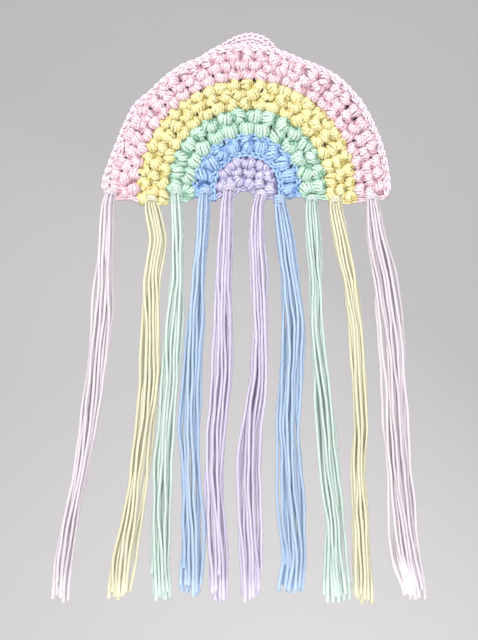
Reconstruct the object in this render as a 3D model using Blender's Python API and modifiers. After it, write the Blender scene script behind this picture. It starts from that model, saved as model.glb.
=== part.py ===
"""Crocheted rainbow wall hanging: five arcs of puff stitches, a hanging loop and ten yarn tassels.

Runs in Blender 4.5, in metres with +Z up. The hanging faces -Y and its wall side is +Y. The origin is at the
crown of the hanging loop, in the plane of the panel's back.
"""

import math
import random
from collections import namedtuple

import bmesh
import bpy
import numpy as np
from mathutils import Vector
from mathutils.geometry import delaunay_2d_cdt

# Sizes and tables below are in millimetres, and MM turns them into metres.
MM = 0.001
GAP = 0.3

# The panel is a half disc on short straight legs. Its arcs share one centre.
CENTRE_DROP = 110.25
SEAM_GAP = 0.15
FABRIC = 2.3
EDGE_THICKNESS = 2.2
PUFF_TOP = 7.0
PUFF_SHOULDER = 5.3
SHOULDER_SHARE = 0.66
SHOULDER_POINTS = 6
UNEVEN = 0.25
SEAM_STEPS = 4
CLEARANCE = 0.8

# The chain edging round the pink arc.
EDGING_STITCHES = 54
EDGING_INSET = 1.6
EDGING_GROOVE = 3.3
EDGING_RISE = 4.8
EDGING_DIP = 2.8
EDGING_NOMINAL = 100.0

# The hanging loop is a strap of two stitch rows behind the panel's top edge.
STRAP_WIDTH = 10.4
STRAP_BACK = 3.4
STRAP_FABRIC = 2.2
STRAP_RISE = 3.1
STRAP_STITCHES = 15
STRAP_STEPS = 30
STRAP_ROW_SHARE = 0.25

# A point of the relief. Its crease is DIP between two puffs of a row, or the number of the groove it lies in.
Raised = namedtuple("Raised", "x up height crease")
DIP = "dip"
EDGING_LINE = 9

# Each tassel is a knotted head over loose strands of yarn.
HEAD_SIDES = 9
NOTCH_LENGTH = 15.0
NOTCH_STRETCH = 2.0
BUNDLE_DEPTH = 8.0
BUNDLE_Y = -3.2
STRAND_RADIUS = 0.95
STRAND_SIDES = 3
STRAND_PITCH = 2.15
ROOT_SCALE = 0.62
ROOT_DROP = 1.0
TURN_PER_SECTION = 0.12
SETTLE_ROUNDS = 60
UNEVEN_ENDS = 4.0
GOLDEN_TURN = math.pi * (3 - math.sqrt(5))

# The seed of the small unevenness of handwork.
SEED = 7

Colour = namedtuple("Colour", "red green blue roughness")
COLOURS = {
    "pink": Colour(0.86, 0.64, 0.70, 0.9),
    "yellow": Colour(0.86, 0.78, 0.42, 0.9),
    "green": Colour(0.52, 0.76, 0.60, 0.9),
    "blue": Colour(0.33, 0.54, 0.84, 0.9),
    "lavender": Colour(0.56, 0.49, 0.74, 0.9),
}

# A seam is the line where two arcs meet. The puffs of the arc inside it push it out in scallops.
Seam = namedtuple("Seam", "radius scallops depth")
LAVENDER_SEAM = Seam(21.6, 7, 1.3)
BLUE_SEAM = Seam(37.4, 10, 1.2)
GREEN_SEAM = Seam(55.8, 16, 0.9)
YELLOW_SEAM = Seam(76.0, 23, 0.8)
OUTER_EDGE = Seam(EDGING_NOMINAL, EDGING_STITCHES, 0.0)

# A row of puff stitches: the radius of its middle, how many puffs, and half the height of one.
PuffRow = namedtuple("PuffRow", "radius puffs half_height")
Arc = namedtuple("Arc", "name colour inside outside rows")
ARCS = (
    Arc("lavender_arc", "lavender", None, LAVENDER_SEAM, (PuffRow(8.4, 5, 3.4), PuffRow(18.2, 7, 3.7))),
    Arc("blue_arc", "blue", LAVENDER_SEAM, BLUE_SEAM, (PuffRow(30.0, 10, 5.2),)),
    Arc("green_arc", "green", BLUE_SEAM, GREEN_SEAM, (PuffRow(42.2, 13, 4.2), PuffRow(51.6, 16, 4.2))),
    Arc(
        "yellow_arc",
        "yellow",
        GREEN_SEAM,
        YELLOW_SEAM,
        (PuffRow(59.6, 19, 3.5), PuffRow(66.4, 21, 3.5), PuffRow(73.0, 23, 3.3)),
    ),
    Arc(
        "pink_arc",
        "pink",
        YELLOW_SEAM,
        OUTER_EDGE,
        (PuffRow(79.9, 25, 3.5), PuffRow(86.5, 27, 3.4), PuffRow(93.2, 30, 3.4)),
    ),
)

# The outer edge as it is worked, uneven: its radius at each angle from the right-hand side.
RimPoint = namedtuple("RimPoint", "degrees radius")
RIM = (
    RimPoint(0, 100.6),
    RimPoint(9, 100.0),
    RimPoint(24, 99.7),
    RimPoint(37, 101.0),
    RimPoint(51, 101.0),
    RimPoint(60, 99.2),
    RimPoint(67, 97.8),
    RimPoint(77, 99.3),
    RimPoint(88, 100.9),
    RimPoint(102, 101.0),
    RimPoint(110, 96.9),
    RimPoint(119, 97.4),
    RimPoint(135, 95.8),
    RimPoint(143, 98.4),
    RimPoint(152, 97.0),
    RimPoint(161, 96.5),
    RimPoint(170, 98.6),
    RimPoint(177, 101.6),
    RimPoint(180, 101.6),
)

# The bottom edge, from left to right, as a drop below the arcs' centre.
EdgePoint = namedtuple("EdgePoint", "x drop")
BOTTOM_EDGE = (
    EdgePoint(-101.5, -2.5),
    EdgePoint(-98.7, 1.4),
    EdgePoint(-92.4, 8.4),
    EdgePoint(-81.9, 7.7),
    EdgePoint(-72.8, 10.9),
    EdgePoint(-57.4, 11.6),
    EdgePoint(-53.9, 9.1),
    EdgePoint(-48.3, 7.7),
    EdgePoint(-42.7, 10.2),
    EdgePoint(-39.9, 5.6),
    EdgePoint(-35.0, 5.6),
    EdgePoint(-22.4, 8.4),
    EdgePoint(-18.9, 5.8),
    EdgePoint(-9.1, 5.6),
    EdgePoint(-6.3, 2.1),
    EdgePoint(-0.7, 1.7),
    EdgePoint(3.5, 2.8),
    EdgePoint(6.3, 6.3),
    EdgePoint(16.1, 7.4),
    EdgePoint(30.1, 6.3),
    EdgePoint(37.1, 6.0),
    EdgePoint(56.7, 8.4),
    EdgePoint(68.6, 11.2),
    EdgePoint(77.0, 9.8),
    EdgePoint(93.1, 8.4),
    EdgePoint(97.3, 7.0),
    EdgePoint(100.6, 0.0),
)

# The middle line of the strap, from its left end over the crown to its right end.
StrapPoint = namedtuple("StrapPoint", "x z")
STRAP = (
    StrapPoint(-31.0, -26.0),
    StrapPoint(-24.0, -18.0),
    StrapPoint(-14.0, -11.4),
    StrapPoint(-5.0, -6.6),
    StrapPoint(4.0, -5.2),
    StrapPoint(12.0, -8.2),
    StrapPoint(17.5, -14.5),
    StrapPoint(20.0, -24.0),
)

# The head of a tassel is turned from this profile, top to bottom.
HeadPoint = namedtuple("HeadPoint", "radius height")
HEAD_PROFILE = (
    HeadPoint(0.0, 3.4),
    HeadPoint(2.9, 3.0),
    HeadPoint(4.4, 1.4),
    HeadPoint(4.4, -0.2),
    HeadPoint(3.9, -1.2),
    HeadPoint(4.3, -2.4),
    HeadPoint(3.2, -3.3),
    HeadPoint(0.0, -3.4),
)

# Where each bundle hangs: its middle and its width at these drops below the arcs' centre, then at its ends.
SECTION_DROPS = (36, 66, 110, 160, 212, 258)
Tassel = namedtuple("Tassel", "name colour strands knot_x knot_drop end_drop middles widths")
TASSELS = (
    Tassel(
        "tassel_pink_left", "pink", 14, -95.5, 4.5, 285,
        (-98.5, -100.5, -104.0, -110.5, -119.5, -128.5, -131.0),
        (11.5, 14.0, 16.0, 14.5, 11.5, 13.5, 12.0),
    ),
    Tassel(
        "tassel_yellow_left", "yellow", 14, -67.2, 9.1, 284,
        (-62.5, -67.0, -68.0, -71.5, -78.0, -86.5, -90.0),
        (13.5, 14.0, 15.0, 14.5, 16.0, 19.0, 17.0),
    ),
    Tassel(
        "tassel_green_left", "green", 14, -49.2, 4.2, 285,
        (-48.5, -49.0, -53.0, -56.5, -60.0, -61.0, -60.0),
        (9.5, 10.0, 14.0, 13.0, 14.5, 14.5, 16.0),
    ),
    Tassel(
        "tassel_blue_left", "blue", 14, -29.4, 3.8, 281,
        (-31.5, -34.0, -37.5, -40.5, -39.5, -39.0, -40.0),
        (8.5, 9.0, 13.5, 15.5, 16.0, 18.0, 18.0),
    ),
    Tassel(
        "tassel_lavender_left", "lavender", 14, -12.7, 1.4, 285,
        (-15.0, -17.0, -17.5, -21.0, -23.5, -20.5, -20.0),
        (12.0, 13.0, 14.5, 16.5, 13.5, 14.5, 14.5),
    ),
    Tassel(
        "tassel_lavender_right", "lavender", 14, 9.9, 5.4, 285,
        (6.5, 8.0, 8.5, 4.0, 1.0, 3.0, 3.0),
        (12.5, 12.5, 12.5, 16.0, 19.0, 19.0, 18.0),
    ),
    Tassel(
        "tassel_blue_right", "blue", 15, 22.9, 8.2, 280,
        (27.0, 30.5, 32.0, 30.0, 31.0, 33.0, 30.5),
        (15.0, 13.5, 17.0, 19.5, 20.5, 18.0, 20.5),
    ),
    Tassel(
        "tassel_green_right", "green", 14, 45.6, 8.7, 285,
        (46.5, 48.0, 49.5, 54.0, 58.0, 61.5, 62.5),
        (11.5, 9.5, 11.0, 14.5, 15.5, 18.0, 21.0),
    ),
    Tassel(
        "tassel_yellow_right", "yellow", 14, 61.8, 9.8, 287,
        (66.0, 72.0, 76.5, 79.0, 78.5, 80.0, 80.5),
        (12.5, 12.5, 11.5, 9.0, 12.0, 14.0, 13.5),
    ),
    Tassel(
        "tassel_pink_right", "pink", 15, 87.5, 7.7, 284,
        (90.5, 97.0, 102.0, 104.0, 108.0, 112.5, 117.5),
        (15.5, 18.5, 19.0, 20.5, 21.0, 24.0, 17.0),
    ),
)


def clear_scene():
    for item in list(bpy.data.objects):
        bpy.data.objects.remove(item, do_unlink=True)


def new_collection(name):
    collection = bpy.data.collections.new(name)
    bpy.context.scene.collection.children.link(collection)
    return collection


def yarn_material(name):
    colour = COLOURS[name]
    material = bpy.data.materials.new(name + "_yarn")
    material.use_nodes = True
    shader = material.node_tree.nodes["Principled BSDF"]
    shader.inputs["Base Color"].default_value = (colour.red, colour.green, colour.blue, 1)
    shader.inputs["Roughness"].default_value = colour.roughness
    shader.inputs["Metallic"].default_value = 0.0
    return material


def place(mesh, name, collection, material=None):
    """Puts a mesh in the scene under its name."""
    item = bpy.data.objects.new(name, mesh)
    collection.objects.link(item)
    if material:
        mesh.materials.append(material)
    return item


def finished_mesh(bm, name):
    bmesh.ops.recalc_face_normals(bm, faces=bm.faces)
    mesh = bpy.data.meshes.new(name)
    bm.to_mesh(mesh)
    bm.free()
    return mesh


# Positions on the panel

def drop_at(x):
    """How far the bottom edge lies below the arcs' centre at x."""
    xs = [point.x for point in BOTTOM_EDGE]
    drops = [point.drop for point in BOTTOM_EDGE]
    return float(np.interp(x, xs, drops))


def worked_radius(radius, angle):
    """A radius in the pink arc, stretched so that its outer edge follows the uneven rim."""
    inner = YELLOW_SEAM.radius
    if radius <= inner:
        return radius
    degrees = [point.degrees for point in RIM]
    radii = [point.radius for point in RIM]
    rim = float(np.interp(math.degrees(angle), degrees, radii))
    return inner + (radius - inner) * (rim - inner) / (EDGING_NOMINAL - inner)


def on_row(radius, share, lift=0.0):
    """A point at this share of a row, from its right foot over the top to its left foot, and its angle."""
    right_leg = max(drop_at(worked_radius(radius, 0)), 0.0)
    left_leg = max(drop_at(-worked_radius(radius, math.pi)), 0.0)
    travel = share * (right_leg + math.pi * radius + left_leg)
    if travel < right_leg:
        return worked_radius(radius + lift, 0), travel - right_leg, 0.0
    angle = (travel - right_leg) / radius
    if angle > math.pi:
        return -worked_radius(radius + lift, math.pi), -(angle - math.pi) * radius, math.pi
    reach = worked_radius(radius + lift, angle)
    return reach * math.cos(angle), reach * math.sin(angle), angle


def seam_line(seam, side):
    """The points of a seam, moved to one side of it by the seam's gap."""
    steps = seam.scallops * (SEAM_STEPS if seam.depth else 1)
    points = []
    for step in range(steps + 1):
        share = step / steps
        bulge = seam.depth * 0.5 * (1 - math.cos(2 * math.pi * seam.scallops * share))
        x, up, _ = on_row(seam.radius, share, bulge - seam.depth / 2 + side * SEAM_GAP)
        points.append((x, up))
    return points


def bottom_between(first_x, last_x):
    """The points of the bottom edge strictly between two places, in the order they are met."""
    low, high = sorted((first_x, last_x))
    found = [(point.x, -point.drop) for point in BOTTOM_EDGE if low + CLEARANCE < point.x < high - CLEARANCE]
    return found if first_x < last_x else found[::-1]


def arc_outline(arc):
    outer = seam_line(arc.outside, -1 if arc.outside.depth else 0)
    if arc.inside is None:
        return outer + bottom_between(outer[-1][0], outer[0][0])
    inner = seam_line(arc.inside, 1)[::-1]
    left_foot = bottom_between(outer[-1][0], inner[0][0])
    right_foot = bottom_between(inner[-1][0], outer[0][0])
    return outer + left_foot + inner + right_foot


# Relief

def puff_points(row, uneven):
    """The top and shoulders of each puff in a row, and the dips between neighbours."""
    points = []
    span = (math.pi * row.radius + 2 * max(drop_at(row.radius), 0)) / row.puffs / 2
    for number in range(row.puffs):
        dip_x, dip_up, _ = on_row(row.radius, (number + 1) / row.puffs)
        points.append(Raised(dip_x, dip_up, FABRIC, DIP))
        x, up, angle = on_row(row.radius, (number + 0.5) / row.puffs)
        x += uneven.uniform(-UNEVEN, UNEVEN)
        up += uneven.uniform(-UNEVEN, UNEVEN)
        points.append(Raised(x, up, PUFF_TOP + uneven.uniform(-UNEVEN, 0), None))
        outward = Vector((math.cos(angle), math.sin(angle)))
        along = Vector((-outward.y, outward.x))
        for corner in range(SHOULDER_POINTS):
            turn = 2 * math.pi * (corner + 0.5) / SHOULDER_POINTS
            step = along * (math.cos(turn) * span) + outward * (math.sin(turn) * row.half_height)
            step *= SHOULDER_SHARE
            points.append(Raised(x + step.x, up + step.y, PUFF_SHOULDER, None))
    return points


def groove_points(rows):
    """The low line between two rows of puffs."""
    points = []
    for line, (lower, upper) in enumerate(zip(rows, rows[1:])):
        radius = (lower.radius + lower.half_height + upper.radius - upper.half_height) / 2
        for number in range(2 * upper.puffs + 1):
            x, up, _ = on_row(radius, number / (2 * upper.puffs))
            points.append(Raised(x, up, FABRIC, line))
    return points


def edging_points():
    """The chain edging: raised stitches a little inside the outer edge, and a groove within them."""
    stitches = []
    groove = []
    for half_stitch in range(1, 2 * EDGING_STITCHES):
        share = half_stitch / (2 * EDGING_STITCHES)
        x, up, _ = on_row(EDGING_NOMINAL - EDGING_INSET, share)
        stitches.append(Raised(x, up, EDGING_RISE if half_stitch % 2 else EDGING_DIP, None))
        if half_stitch % 2:
            groove_x, groove_up, _ = on_row(EDGING_NOMINAL - EDGING_GROOVE, share)
            groove.append(Raised(groove_x, groove_up, FABRIC, EDGING_LINE))
    return stitches + groove


def crease_edges(outline, kept):
    """Pairs of points that a crease joins: along each groove, and from each dip to the low points by it."""
    first = len(outline)
    edges = []
    for i in range(len(kept) - 1):
        if isinstance(kept[i].crease, int) and kept[i].crease == kept[i + 1].crease:
            edges.append((first + i, first + i + 1))
    low = [(math.hypot(x, max(up, 0)), x, up, i) for i, (x, up) in enumerate(outline)]
    for i, point in enumerate(kept):
        if isinstance(point.crease, int):
            low.append((math.hypot(point.x, max(point.up, 0)), point.x, point.up, first + i))
    for i, point in enumerate(kept):
        if point.crease != DIP:
            continue
        reach = math.hypot(point.x, max(point.up, 0))
        for side in (-1, 1):
            beside = [spot for spot in low if side * (spot[0] - reach) > CLEARANCE]
            if beside:
                nearest = min(beside, key=lambda spot: math.hypot(spot[1] - point.x, spot[2] - point.up))
                edges.append((first + i, nearest[3]))
    return edges


def is_inside(x, z, outline):
    inside = False
    for (ax, az), (bx, bz) in zip(outline, outline[1:] + outline[:1]):
        if (az > z) != (bz > z) and x < ax + (bx - ax) * (z - az) / (bz - az):
            inside = not inside
    return inside


def clear_of_edge(x, z, outline, clearance):
    """Whether a point lies inside an outline and no nearer to its edge than the clearance."""
    if not is_inside(x, z, outline):
        return False
    here = Vector((x, z))
    for start, end in zip(outline, outline[1:] + outline[:1]):
        first, second = Vector(start), Vector(end)
        run = second - first
        share = max(0.0, min(1.0, (here - first).dot(run) / max(run.length_squared, 1e-9)))
        if (first + run * share - here).length < clearance:
            return False
    return True


def relief_plate(name, outline, raised, edge_height, back_y, drop):
    """A plate with a flat back, whose front is drawn through the raised points."""
    kept = [point for point in raised if clear_of_edge(point.x, point.up, outline, CLEARANCE)]
    flat = [Vector(point) for point in outline] + [Vector((point.x, point.up)) for point in kept]
    heights = [edge_height] * len(outline) + [point.height for point in kept]
    edges = [(i, (i + 1) % len(outline)) for i in range(len(outline))] + crease_edges(outline, kept)
    corners, _, faces, sources, _, _ = delaunay_2d_cdt(flat, edges, [], 1, 1e-4)
    bm = bmesh.new()
    height_of = bm.verts.layers.float.new("height")
    verts = []
    for corner, source in zip(corners, sources):
        vert = bm.verts.new((corner.x * MM, back_y * MM, (corner.y - drop) * MM))
        vert[height_of] = heights[source[0]] if source else edge_height
        verts.append(vert)
    for face in faces:
        bm.faces.new([verts[i] for i in face])
    back = bm.faces[:]
    grown = bmesh.ops.extrude_face_region(bm, geom=back, use_keep_orig=True)
    for item in grown["geom"]:
        if isinstance(item, bmesh.types.BMVert):
            item.co.y -= item[height_of] * MM
    bmesh.ops.dissolve_limit(bm, angle_limit=0.001, verts=bm.verts, edges=bm.edges)
    bm.verts.layers.float.remove(height_of)
    return finished_mesh(bm, name)


# The sub-parts

def build_arc(arc, collection, materials, uneven):
    raised = groove_points(arc.rows)
    for row in arc.rows:
        raised += puff_points(row, uneven)
    if arc.outside is OUTER_EDGE:
        raised += edging_points()
    mesh = relief_plate(arc.name, arc_outline(arc), raised, EDGE_THICKNESS, 0.0, CENTRE_DROP)
    return place(mesh, arc.name, collection, materials[arc.colour])


def curve_point(before, start, end, after, t):
    """A point between start and end on a cubic through all four points, and the curve's direction there."""
    slope = end - before
    bend = 2 * before - 5 * start + 4 * end - after
    twist = 3 * start - before - 3 * end + after
    spot = start + 0.5 * (slope * t + bend * t**2 + twist * t**3)
    run = 0.5 * (slope + 2 * bend * t + 3 * twist * t**2)
    return spot, run


def strap_line():
    """The strap's middle line as places and outward directions, on one smooth curve through its points."""
    points = [Vector(point) for point in STRAP]
    ends = [2 * points[0] - points[1]] + points + [2 * points[-1] - points[-2]]
    line = []
    for step in range(STRAP_STEPS + 1):
        along = step / STRAP_STEPS * (len(points) - 1)
        first = min(int(along), len(points) - 2)
        t = along - first
        spot, run = curve_point(*ends[first : first + 4], t)
        line.append((spot, Vector((-run.y, run.x)).normalized()))
    return line


def build_hanging_loop(collection, materials):
    line = strap_line()
    half = STRAP_WIDTH / 2
    outline = [tuple(at - out * half) for at, out in line]
    outline += [tuple(at + out * half) for at, out in line[::-1]]
    raised = []
    for step in range(1, 2 * STRAP_STITCHES):
        at, out = line[round(step / (2 * STRAP_STITCHES) * STRAP_STEPS)]
        height = STRAP_RISE if step % 2 else STRAP_FABRIC
        raised.append(Raised(*at, STRAP_FABRIC, None))
        raised.append(Raised(*(at + out * STRAP_WIDTH * STRAP_ROW_SHARE), height, None))
        raised.append(Raised(*(at - out * STRAP_WIDTH * STRAP_ROW_SHARE), height, None))
    mesh = relief_plate("hanging_loop", outline, raised, STRAP_FABRIC, STRAP_BACK, 0.0)
    return place(mesh, "hanging_loop", collection, materials["pink"])


def packed_section(strands, width, depth, pitch, turn):
    """Where strands cross a section of a bundle: spread over an oval, then pushed apart to their pitch."""
    numbers = np.arange(strands)
    reach = np.sqrt((numbers + 0.5) / strands)
    angles = numbers * GOLDEN_TURN + turn
    half_width = width / 2 - STRAND_RADIUS
    spots = np.stack([reach * np.cos(angles) * half_width, reach * np.sin(angles) * depth / 2], axis=1)
    for _ in range(SETTLE_ROUNDS):
        apart = spots[:, None] - spots[None]
        distance = np.linalg.norm(apart, axis=2) + np.eye(strands) * pitch
        push = np.clip(pitch - distance, 0, None) / distance * 0.5
        spots = spots + (apart * push[:, :, None]).sum(axis=1)
        spots[:, 0] = np.clip(spots[:, 0], -half_width, half_width)
    return spots


def strand_routes(tassel, uneven):
    """The places that each strand of a tassel runs through, from inside the head to its cut end."""
    drops = (tassel.knot_drop + ROOT_DROP, *SECTION_DROPS, tassel.end_drop)
    middles = (tassel.knot_x, *tassel.middles)
    root_width = 2 * ROOT_SCALE * max(point.radius for point in HEAD_PROFILE) + 2 * STRAND_RADIUS
    sections = [packed_section(tassel.strands, root_width, root_width, STRAND_PITCH * ROOT_SCALE, 0.0)]
    for number, width in enumerate(tassel.widths, 1):
        turn = number * TURN_PER_SECTION
        sections.append(packed_section(tassel.strands, width, BUNDLE_DEPTH, STRAND_PITCH, turn))
    routes = []
    for strand in range(tassel.strands):
        cut = uneven.uniform(-UNEVEN_ENDS, UNEVEN_ENDS)
        route = []
        for number, (drop, middle, section) in enumerate(zip(drops, middles, sections)):
            shorter = cut if number == len(drops) - 1 else 0.0
            x, y = section[strand]
            route.append(Vector((middle + x, BUNDLE_Y + y, -CENTRE_DROP - drop + shorter)) * MM)
        routes.append(route)
    return routes


def strand_profile(collection):
    """The three-sided section of a strand."""
    curve = bpy.data.curves.new("strand_profile", "CURVE")
    curve.dimensions = "2D"
    spline = curve.splines.new("POLY")
    spline.points.add(STRAND_SIDES - 1)
    spline.use_cyclic_u = True
    for side, point in enumerate(spline.points):
        turn = 2 * math.pi * side / STRAND_SIDES
        point.co = (STRAND_RADIUS * MM * math.cos(turn), STRAND_RADIUS * MM * math.sin(turn), 0, 1)
    item = bpy.data.objects.new("strand_profile", curve)
    item.hide_render = True
    item.display_type = "WIRE"
    collection.objects.link(item)
    return item


def strands_mesh(name, routes, profile, helpers):
    """The loose strands of a tassel as one mesh, swept from their three-sided section."""
    curve = bpy.data.curves.new(name, "CURVE")
    curve.dimensions = "3D"
    curve.bevel_mode = "OBJECT"
    curve.bevel_object = profile
    curve.use_fill_caps = True
    for route in routes:
        spline = curve.splines.new("POLY")
        spline.points.add(len(route) - 1)
        for point, spot in zip(spline.points, route):
            point.co = (*spot, 1)
        spline.points[0].radius = ROOT_SCALE
    swept = bpy.data.objects.new(name, curve)
    helpers.objects.link(swept)
    mesh = bpy.data.meshes.new_from_object(swept.evaluated_get(bpy.context.evaluated_depsgraph_get()))
    bpy.data.objects.remove(swept)
    bm = bmesh.new()
    bm.from_mesh(mesh)
    bmesh.ops.remove_doubles(bm, verts=bm.verts, dist=1e-6)
    bmesh.ops.recalc_face_normals(bm, faces=bm.faces)
    bm.to_mesh(mesh)
    bm.free()
    return mesh


def head_profile_mesh(name):
    """The half section of a tassel's head, which a screw turns into the head."""
    bm = bmesh.new()
    verts = [bm.verts.new((point.radius * MM, 0, point.height * MM)) for point in HEAD_PROFILE]
    for first, second in zip(verts, verts[1:]):
        bm.edges.new((first, second))
    mesh = bpy.data.meshes.new(name)
    bm.to_mesh(mesh)
    bm.free()
    return mesh


def build_tassel(tassel, collection, helpers, materials, profile, uneven):
    """A turned head joined with its strands into one solid."""
    routes = strand_routes(tassel, uneven)
    loose = strands_mesh(tassel.name + "_strands", routes, profile, helpers)
    strands = place(loose, tassel.name + "_strands", helpers)
    strands.hide_render = True
    strands.display_type = "WIRE"
    head = place(head_profile_mesh(tassel.name), tassel.name, collection, materials[tassel.colour])
    head.location = Vector((tassel.knot_x, BUNDLE_Y, -CENTRE_DROP - tassel.knot_drop)) * MM
    turned = head.modifiers.new("turned", "SCREW")
    turned.steps = HEAD_SIDES
    turned.render_steps = HEAD_SIDES
    turned.use_merge_vertices = True
    turned.merge_threshold = 0.0001
    joined = head.modifiers.new("joined", "BOOLEAN")
    joined.operation = "UNION"
    joined.object = strands
    return head


def notch_cutter(tassel, helpers):
    """The room that a head and its bundle need in the bottom edge, open downwards."""
    bm = bmesh.new()
    for lowered in (0.0, NOTCH_LENGTH):
        for point in HEAD_PROFILE:
            height = point.height + math.copysign(GAP, point.height) - lowered
            for side in range(HEAD_SIDES):
                turn = 2 * math.pi * side / HEAD_SIDES
                reach = (point.radius + GAP) * MM / math.cos(math.pi / HEAD_SIDES)
                bm.verts.new((reach * math.cos(turn), reach * math.sin(turn) * NOTCH_STRETCH, height * MM))
    hull = bmesh.ops.convex_hull(bm, input=bm.verts)
    loose = [item for item in hull["geom_interior"] if isinstance(item, bmesh.types.BMVert)]
    bmesh.ops.delete(bm, geom=loose, context="VERTS")
    cutter = place(finished_mesh(bm, tassel.name + "_notch"), tassel.name + "_notch", helpers)
    cutter.location = Vector((tassel.knot_x, BUNDLE_Y, -CENTRE_DROP - tassel.knot_drop)) * MM
    cutter.hide_render = True
    cutter.display_type = "WIRE"
    return cutter


def reaches(tassel, arc):
    """Whether a tassel's notch reaches into an arc's leg."""
    room = max(point.radius for point in HEAD_PROFILE) + 2 * GAP
    inner = arc.inside.radius - arc.inside.depth if arc.inside else 0.0
    outer = arc.outside.radius + arc.outside.depth
    return inner < abs(tassel.knot_x) + room and abs(tassel.knot_x) - room < outer


def cut_notch(arc_object, cutter):
    cut = arc_object.modifiers.new("notch", "BOOLEAN")
    cut.operation = "DIFFERENCE"
    cut.object = cutter


def main():
    clear_scene()
    collection = new_collection("rainbow_wall_hanging")
    helpers = new_collection("cutters")
    materials = {name: yarn_material(name) for name in COLOURS}
    uneven = random.Random(SEED)
    arcs = {arc.name: build_arc(arc, collection, materials, uneven) for arc in ARCS}
    build_hanging_loop(collection, materials)
    profile = strand_profile(helpers)
    for tassel in TASSELS:
        build_tassel(tassel, collection, helpers, materials, profile, uneven)
        cutter = notch_cutter(tassel, helpers)
        for arc in ARCS:
            if reaches(tassel, arc):
                cut_notch(arcs[arc.name], cutter)
    bpy.context.view_layer.update()


main()
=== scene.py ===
"""Looks of a crocheted rainbow wall hanging: worked yarn, a hanging loop and ten tassels of loose strands.

Sizes are in millimetres and MM turns them into metres. The hanging faces -Y, its wall side is +Y, and the
origin is at the crown of the hanging loop.
"""

import logging
import math
from dataclasses import dataclass, field
from enum import Enum

import bpy
import numpy as np
from bpy.types import Material, Object, ShaderNodeTree
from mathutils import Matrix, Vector


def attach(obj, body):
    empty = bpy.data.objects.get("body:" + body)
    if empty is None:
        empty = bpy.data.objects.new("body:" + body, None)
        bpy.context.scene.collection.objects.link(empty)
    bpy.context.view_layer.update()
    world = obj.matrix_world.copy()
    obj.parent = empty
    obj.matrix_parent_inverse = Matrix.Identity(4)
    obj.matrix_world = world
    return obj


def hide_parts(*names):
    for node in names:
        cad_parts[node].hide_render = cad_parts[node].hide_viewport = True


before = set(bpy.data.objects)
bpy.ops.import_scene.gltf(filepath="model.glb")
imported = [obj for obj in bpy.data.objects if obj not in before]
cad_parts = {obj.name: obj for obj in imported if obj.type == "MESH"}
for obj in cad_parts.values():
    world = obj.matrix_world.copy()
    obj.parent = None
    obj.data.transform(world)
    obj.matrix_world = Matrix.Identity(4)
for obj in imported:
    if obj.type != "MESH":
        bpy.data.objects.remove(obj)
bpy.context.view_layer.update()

LOG = logging.getLogger("wall_hanging")

MM = 0.001
BODY = "root"
FRONT = np.array([0.0, -1.0, 0.0])
BACK = -FRONT
GOLDEN_TURN = math.pi * (3 - math.sqrt(5))

# The panel is a half disc on short straight legs. Its arcs share one centre.
CENTRE_DROP = 110.25
YELLOW_OUTSIDE = 76.0
EDGING_NOMINAL = 100.0

# What a yarn's mesh carries for its material, and the length of yarn that is one step of the map.
YARN_MAP = "yarn"
# The tone attribute carries painted shade: low in hollows, creases and on flanks, high where the yarn stands
# proud, with some random tone.
PAINTED_SHADE_TONE = "tone"
MAP_LENGTH = 10.0


class YarnColour(Enum):
    """The five yarns of the rainbow, by the first word of their material slots."""

    PINK = "pink"
    YELLOW = "yellow"
    GREEN = "green"
    BLUE = "blue"
    LAVENDER = "lavender"

    @property
    def slot(self) -> str:
        """The record's material slot of this yarn."""
        return self.value + "_yarn"


class Knot(Enum):
    """How a tassel is gathered: under an arched hood of yarn, or in a tight collar."""

    HOOD = "hood"
    COLLAR = "collar"


class Use(Enum):
    """What a yarn is used for: worked into stitches, worked as the edging in a paler copy painted as its
    highlights, or hanging loose in a tassel.
    """

    WORKED = "worked"
    EDGE = "edge"
    LOOSE = "loose"


@dataclass(frozen=True)
class PuffRow:
    """A row of puff stitches: the radius of its middle, how many puffs, and half the height of one.

    A shifted row starts a share of a puff later at both feet, so that its puffs sit between those below.
    """

    radius: float
    puffs: int
    half_height: float
    shift: float = 0.0

    def share(self, number: float) -> float:
        """How far along the row a puff sits, counted from 0 at the right foot."""
        return (number + 0.5 + self.shift) / (self.puffs + 2 * self.shift)


@dataclass(frozen=True)
class ArcPlan:
    """One colour of the rainbow, between two radii, with its rows of puffs and flat rows of chain stitches.

    Puffs that sit in no row are placed one by one: across and up from the arcs' centre, then half the width
    and half the height.
    """

    colour: YarnColour
    inside: float
    outside: float
    rows: tuple[PuffRow, ...]
    flat_rows: tuple[float, ...] = ()
    placed: tuple[tuple[float, float, float, float], ...] = ()

    @property
    def node(self) -> str:
        """The name of the arc's solid."""
        return self.colour.value + "_arc"


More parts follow.
